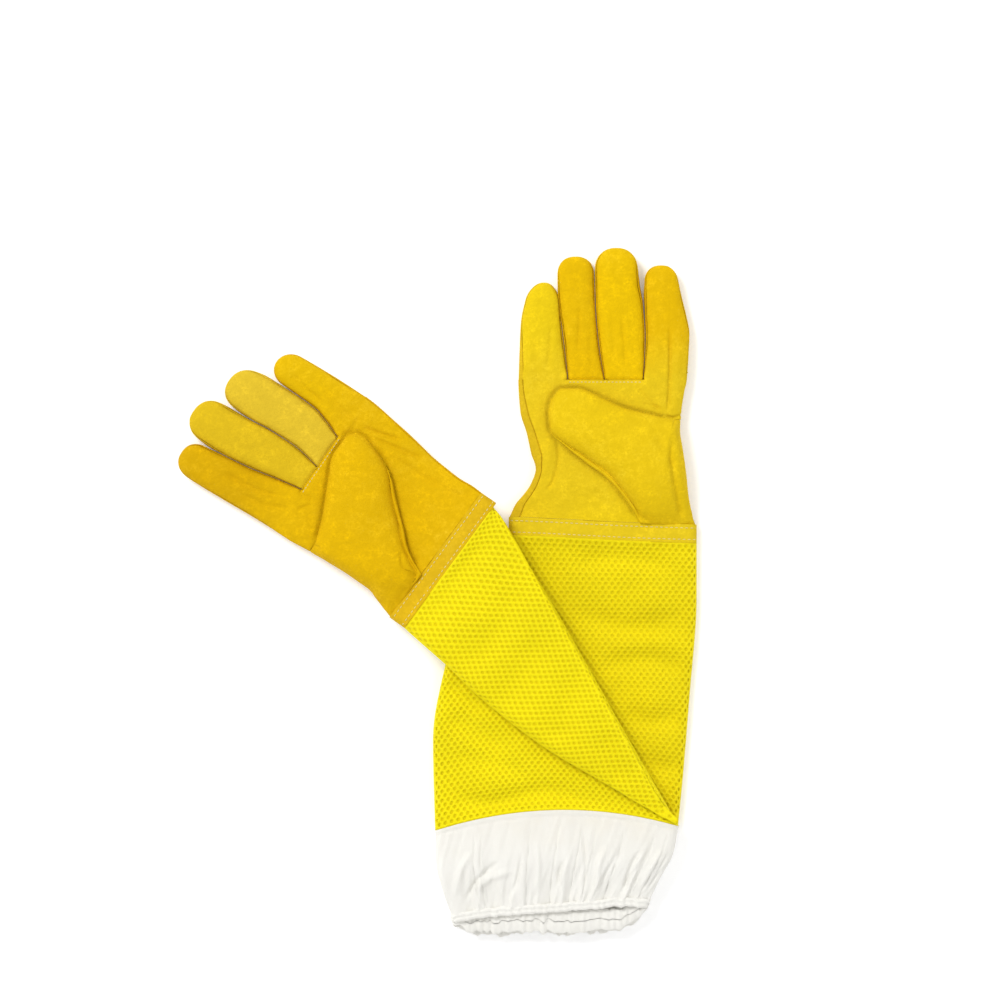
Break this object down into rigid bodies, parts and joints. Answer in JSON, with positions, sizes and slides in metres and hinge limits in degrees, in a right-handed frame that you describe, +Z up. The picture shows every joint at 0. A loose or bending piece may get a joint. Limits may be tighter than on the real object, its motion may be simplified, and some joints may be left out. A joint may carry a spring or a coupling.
{
  "type": "beekeeping gloves",
  "caption": "Pair of long beekeeping gloves: leather hands with folded thumbs, ventilated mesh sleeves and elastic canvas cuffs, the left glove folded over the right.",
  "frame": {"origin": "on the resting plane, under the middle of the right glove's wrist seam, where the mesh sleeve meets the leather wrist band", "axes": "+Y from the right glove's cuff to its fingertips, +X to the right glove's thumb side, +Z up from the surface the gloves lie on"},
  "size_m": [0.3614, 0.4767, 0.0342],
  "materials": {
    "mesh": "matt knitted spacer mesh",
    "canvas": "matt cotton canvas",
    "elastic": "matt woven elastic",
    "thread": "matt sewing thread",
    "leather_gold": "soft suede-like grain",
    "leather_straw": "soft suede-like grain",
    "leather_amber": "soft suede-like grain"
  },
  "bodies": {
    "right_gauntlet": {"right_sleeve_front": "mesh", "right_sleeve_back": "mesh", "right_cuff_front": "canvas", "right_cuff_back": "canvas", "right_hem_casing": "canvas", "right_cuff_elastic": "elastic", "right_wrist_band": "leather_gold", "right_band_stitches": "thread"},
    "left_gauntlet": {"left_lower_sleeve_front": "mesh", "left_lower_sleeve_back": "mesh", "left_cuff_front": "canvas", "left_cuff_back": "canvas", "left_hem_casing": "canvas", "left_cuff_elastic": "elastic"},
    "left_upper_sleeve": {"left_upper_sleeve_front": "mesh", "left_upper_sleeve_back": "mesh", "left_wrist_band": "leather_amber", "left_band_stitches": "thread"},
    "right_hand": {"right_palm_panel": "leather_gold", "right_back_panel": "leather_straw", "right_thumb_wing": "leather_gold", "right_front_seam_stitches": "thread"},
    "right_thumb": {"right_thumb_front": "leather_gold", "right_thumb_back": "leather_straw"},
    "right_index": {"right_index_front": "leather_gold", "right_index_back": "leather_straw", "right_index_side_strip": "leather_gold"},
    "right_middle": {"right_middle_front": "leather_gold", "right_middle_back": "leather_straw", "right_middle_side_strip": "leather_gold"},
    "right_ring": {"right_ring_front": "leather_gold", "right_ring_back": "leather_straw", "right_ring_side_strip": "leather_gold"},
    "right_pinky": {"right_pinky_front": "leather_gold", "right_pinky_back": "leather_straw", "right_pinky_side_strip": "leather_gold"},
    "left_hand": {"left_palm_panel": "leather_amber", "left_back_panel": "leather_amber", "left_thumb_wing": "leather_amber", "left_front_seam_stitches": "thread"},
    "left_thumb": {"left_thumb_front": "leather_amber", "left_thumb_back": "leather_amber"},
    "left_index": {"left_index_front": "leather_amber", "left_index_back": "leather_amber", "left_index_side_strip": "leather_amber"},
    "left_middle": {"left_middle_front": "leather_straw", "left_middle_back": "leather_amber", "left_middle_side_strip": "leather_amber"},
    "left_ring": {"left_ring_front": "leather_straw", "left_ring_back": "leather_amber", "left_ring_side_strip": "leather_amber"},
    "left_pinky": {"left_pinky_front": "leather_amber", "left_pinky_back": "leather_amber", "left_pinky_side_strip": "leather_amber"}
  },
  "joints": [
    {"name": "right_wrist_bend", "type": "hinge", "parent": "right_gauntlet", "child": "right_hand", "pos_m": [0, 0.01, 0.0116], "axis": [1, 0, 0], "range_deg": [0, 50]},
    {"name": "right_thumb_lift", "type": "hinge", "parent": "right_hand", "child": "right_thumb", "pos_m": [0.03725, 0.0472, 0.0299], "axis": [0.2924, 0.9563, 0], "range_deg": [0, 80]},
    {"name": "right_index_curl", "type": "hinge", "parent": "right_hand", "child": "right_index", "pos_m": [0.0435, 0.1123, 0.0166], "axis": [1, 0, 0], "range_deg": [0, 85]},
    {"name": "right_middle_curl", "type": "hinge", "parent": "right_hand", "child": "right_middle", "pos_m": [0.0145, 0.1123, 0.0166], "axis": [1, 0, 0], "range_deg": [0, 85]},
    {"name": "right_ring_curl", "type": "hinge", "parent": "right_hand", "child": "right_ring", "pos_m": [-0.0118, 0.1123, 0.0166], "axis": [1, 0, 0], "range_deg": [0, 85]},
    {"name": "right_pinky_curl", "type": "hinge", "parent": "right_hand", "child": "right_pinky", "pos_m": [-0.0415, 0.1123, 0.0166], "axis": [1, 0, 0], "range_deg": [0, 85]},
    {"name": "left_glove_lift", "type": "slide", "parent": "right_gauntlet", "child": "left_gauntlet", "axis": [0, 0, 1], "range_m": [0, 0.3]},
    {"name": "left_sleeve_unfold", "type": "hinge", "parent": "left_gauntlet", "child": "left_upper_sleeve", "pos_m": [-0.01849, -0.0741, 0.0229], "axis": [-0.5, 0.8661, 0], "range_deg": [0, 140]},
    {"name": "left_wrist_bend", "type": "hinge", "parent": "left_upper_sleeve", "child": "left_hand", "pos_m": [-0.11464, -0.01394, 0.0274], "axis": [0.562, 0.8177, 0.1245], "range_deg": [0, 50]},
    {"name": "left_thumb_lift", "type": "hinge", "parent": "left_hand", "child": "left_thumb", "pos_m": [-0.16238, -0.01419, 0.0336], "axis": [0.9564, -0.292, 0], "range_deg": [0, 80]},
    {"name": "left_index_curl", "type": "hinge", "parent": "left_hand", "child": "left_index", "pos_m": [-0.22176, 0.01964, 0.0166], "axis": [0.5664, 0.8241, 0], "range_deg": [0, 85]},
    {"name": "left_middle_curl", "type": "hinge", "parent": "left_hand", "child": "left_middle", "pos_m": [-0.20681, 0.0414, 0.0166], "axis": [0.5664, 0.8241, 0], "range_deg": [0, 85]},
    {"name": "left_ring_curl", "type": "hinge", "parent": "left_hand", "child": "left_ring", "pos_m": [-0.19355, 0.06068, 0.0166], "axis": [0.5664, 0.8241, 0], "range_deg": [0, 85]},
    {"name": "left_pinky_curl", "type": "hinge", "parent": "left_hand", "child": "left_pinky", "pos_m": [-0.17656, 0.08541, 0.0166], "axis": [0.5664, 0.8241, 0], "range_deg": [0, 85]}
  ]
}
